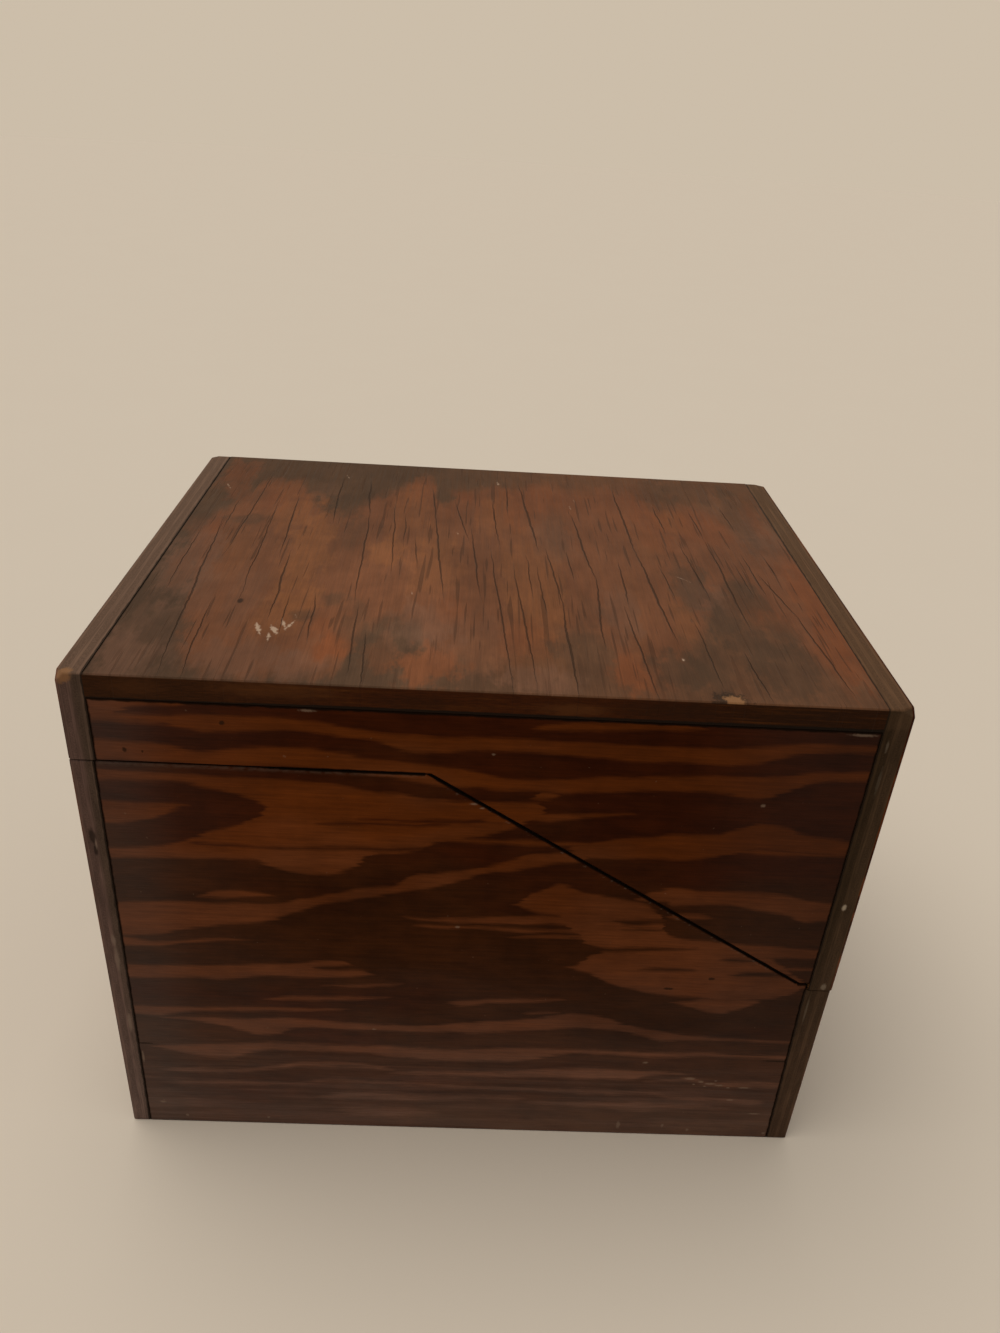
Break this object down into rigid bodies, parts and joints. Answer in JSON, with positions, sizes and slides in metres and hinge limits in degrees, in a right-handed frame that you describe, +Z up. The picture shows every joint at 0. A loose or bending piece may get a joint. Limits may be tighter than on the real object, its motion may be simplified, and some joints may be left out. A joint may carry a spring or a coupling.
{
  "type": "hinged file box",
  "caption": "Plywood file box with a sloping saw cut that parts a lid, hinged at the back, from a deep base that is open low at the front.",
  "frame": {"origin": "middle of the box's footprint, on the underside of the bottom panel", "axes": "+Z up, -Y out of the front, +X to the right of a person who faces the front; the lid hinges at +Y"},
  "size_m": [0.209, 0.2729, 0.21],
  "materials": {
    "stained_plywood": "dark red-brown stain under an old satin varnish",
    "hinge_brass": "dulled brass",
    "screw_brass": "dulled brass",
    "brad_steel": "darkened steel"
  },
  "bodies": {
    "base": {"base_back_board": "stained_plywood", "base_front_board": "stained_plywood", "base_left_side": "stained_plywood", "base_right_side": "stained_plywood", "bottom_panel": "stained_plywood", "base_back_brads": "brad_steel", "base_front_brads": "brad_steel", "case_leaf_screws": "screw_brass", "left_hinge_case_leaf": "hinge_brass", "right_hinge_case_leaf": "hinge_brass", "left_hinge_pin": "hinge_brass", "right_hinge_pin": "hinge_brass"},
    "lid": {"lid_back_board": "stained_plywood", "lid_front_board": "stained_plywood", "lid_left_side": "stained_plywood", "lid_right_side": "stained_plywood", "lid_top_panel": "stained_plywood", "lid_back_brads": "brad_steel", "lid_front_brads": "brad_steel", "lid_leaf_screws": "screw_brass", "left_hinge_lid_leaf": "hinge_brass", "right_hinge_lid_leaf": "hinge_brass"}
  },
  "joints": [
    {"name": "lid_hinge", "type": "hinge", "parent": "base", "child": "lid", "pos_m": [0, 0.13635, 0.1776], "axis": [-1, 0, 0], "range_deg": [0, 187]}
  ]
}
